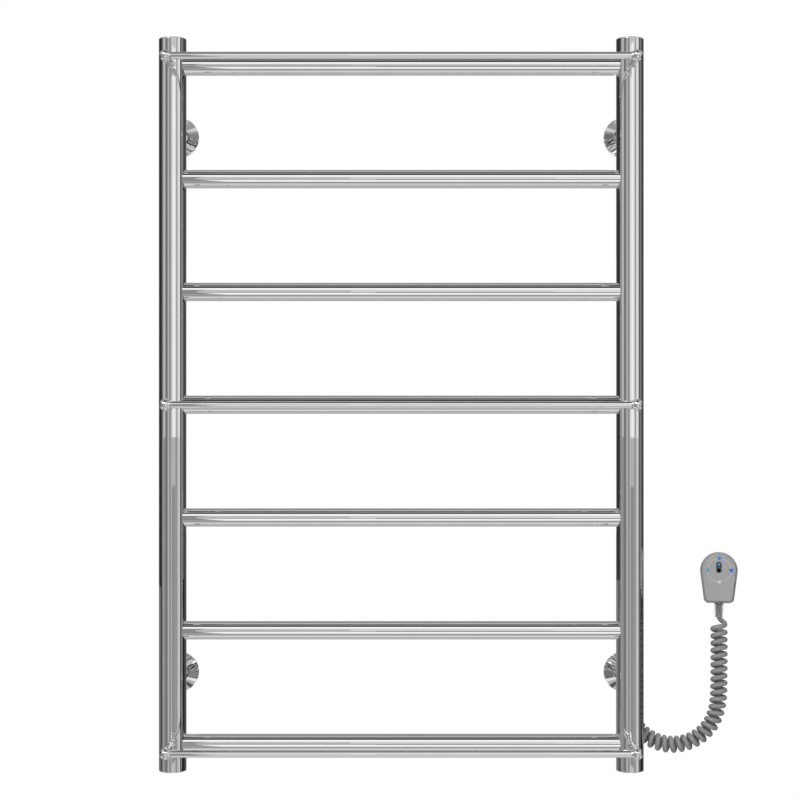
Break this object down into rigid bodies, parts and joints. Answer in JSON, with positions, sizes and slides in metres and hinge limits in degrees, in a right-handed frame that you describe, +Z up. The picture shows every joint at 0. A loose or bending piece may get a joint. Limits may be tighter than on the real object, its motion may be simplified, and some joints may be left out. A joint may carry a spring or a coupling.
{
  "type": "towel warmer rack",
  "caption": "Wall-hung electric towel warmer in polished steel: a ladder of round rungs, thin front rails on ball-cornered legs, conical wall rosettes and a curly cord with a timer plug.",
  "frame": {"origin": "on the wall's face, midway between the four wall feet", "axes": "+X to the right as seen from the room, +Y back into the wall, +Z up"},
  "size_m": [0.6498, 0.1532, 0.8],
  "materials": {
    "polished_steel": "mirror-polished stainless steel",
    "zinc_plated_steel": "bright zinc plate",
    "black_rubber": "matt moulded rubber",
    "lead_sheath": "matt sheath",
    "heater_sheath": "silicone sheath",
    "cord_grey": "satin moulded grey",
    "plug_grey": "fine satin moulding",
    "pin_metal": "nickel plate",
    "bezel_black": "dark gloss moulding",
    "button_black": "gloss black",
    "status_cyan": "lit light guide",
    "board_green": "solder mask"
  },
  "bodies": {
    "wall_feet": {"wall_foot_top_left": "zinc_plated_steel", "wall_foot_top_right": "zinc_plated_steel", "wall_foot_bottom_left": "zinc_plated_steel", "wall_foot_bottom_right": "zinc_plated_steel"},
    "rosette_top_left_body": {"rosette_top_left": "polished_steel", "rosette_o_ring_top_left": "black_rubber"},
    "rosette_top_right_body": {"rosette_top_right": "polished_steel", "rosette_o_ring_top_right": "black_rubber"},
    "rosette_bottom_left_body": {"rosette_bottom_left": "polished_steel", "rosette_o_ring_bottom_left": "black_rubber"},
    "rosette_bottom_right_body": {"rosette_bottom_right": "polished_steel", "rosette_o_ring_bottom_right": "black_rubber"},
    "button": {"control_button": "button_black"},
    "rack": {"upright_left": "polished_steel", "upright_right": "polished_steel", "rung_1": "polished_steel", "rung_2": "polished_steel", "rung_3": "polished_steel", "rung_4": "polished_steel", "rung_5": "polished_steel", "rung_6": "polished_steel", "rung_7": "polished_steel", "rail_rod_top": "polished_steel", "rail_legs_top": "polished_steel", "rail_balls_top": "polished_steel", "rail_rod_middle": "polished_steel", "rail_legs_middle": "polished_steel", "rail_balls_middle": "polished_steel", "rail_rod_bottom": "polished_steel", "rail_legs_bottom": "polished_steel", "rail_balls_bottom": "polished_steel", "upright_cap_top_left": "polished_steel", "bracket_sleeve_top_left": "polished_steel", "upright_cap_top_right": "polished_steel", "bracket_sleeve_top_right": "polished_steel", "upright_cap_bottom_left": "polished_steel", "bracket_sleeve_bottom_left": "polished_steel", "upright_cap_bottom_right": "polished_steel", "bracket_sleeve_bottom_right": "polished_steel", "grub_screws": "zinc_plated_steel", "supply_lead": "lead_sheath", "splice_sleeve": "black_rubber", "heating_cable": "heater_sheath", "cable_end_seal": "black_rubber", "cord_bush": "cord_grey", "curly_cord": "cord_grey", "cord_boot": "cord_grey", "plug_front_shell": "plug_grey", "plug_back_shell": "plug_grey", "plug_pins": "pin_metal", "earth_clips": "pin_metal", "plug_screws": "zinc_plated_steel", "control_bezel": "bezel_black", "status_light": "status_cyan", "control_board": "board_green", "button_switch": "bezel_black", "power_relay": "bezel_black"}
  },
  "joints": [
    {"name": "rack_standoff", "type": "slide", "parent": "wall_feet", "child": "rack", "axis": [0, -1, 0], "range_m": [0, 0.006]},
    {"name": "rosette_top_left_slide", "type": "slide", "parent": "wall_feet", "child": "rosette_top_left_body", "axis": [0, -1, 0], "range_m": [0, 0.024]},
    {"name": "rosette_top_right_slide", "type": "slide", "parent": "wall_feet", "child": "rosette_top_right_body", "axis": [0, -1, 0], "range_m": [0, 0.024]},
    {"name": "rosette_bottom_left_slide", "type": "slide", "parent": "wall_feet", "child": "rosette_bottom_left_body", "axis": [0, -1, 0], "range_m": [0, 0.024]},
    {"name": "rosette_bottom_right_slide", "type": "slide", "parent": "wall_feet", "child": "rosette_bottom_right_body", "axis": [0, -1, 0], "range_m": [0, 0.024]},
    {"name": "button_press", "type": "slide", "parent": "rack", "child": "button", "axis": [0.1763, 0.9798, -0.0941], "range_m": [0, 0.0006], "stiffness_N_per_m": 800}
  ]
}
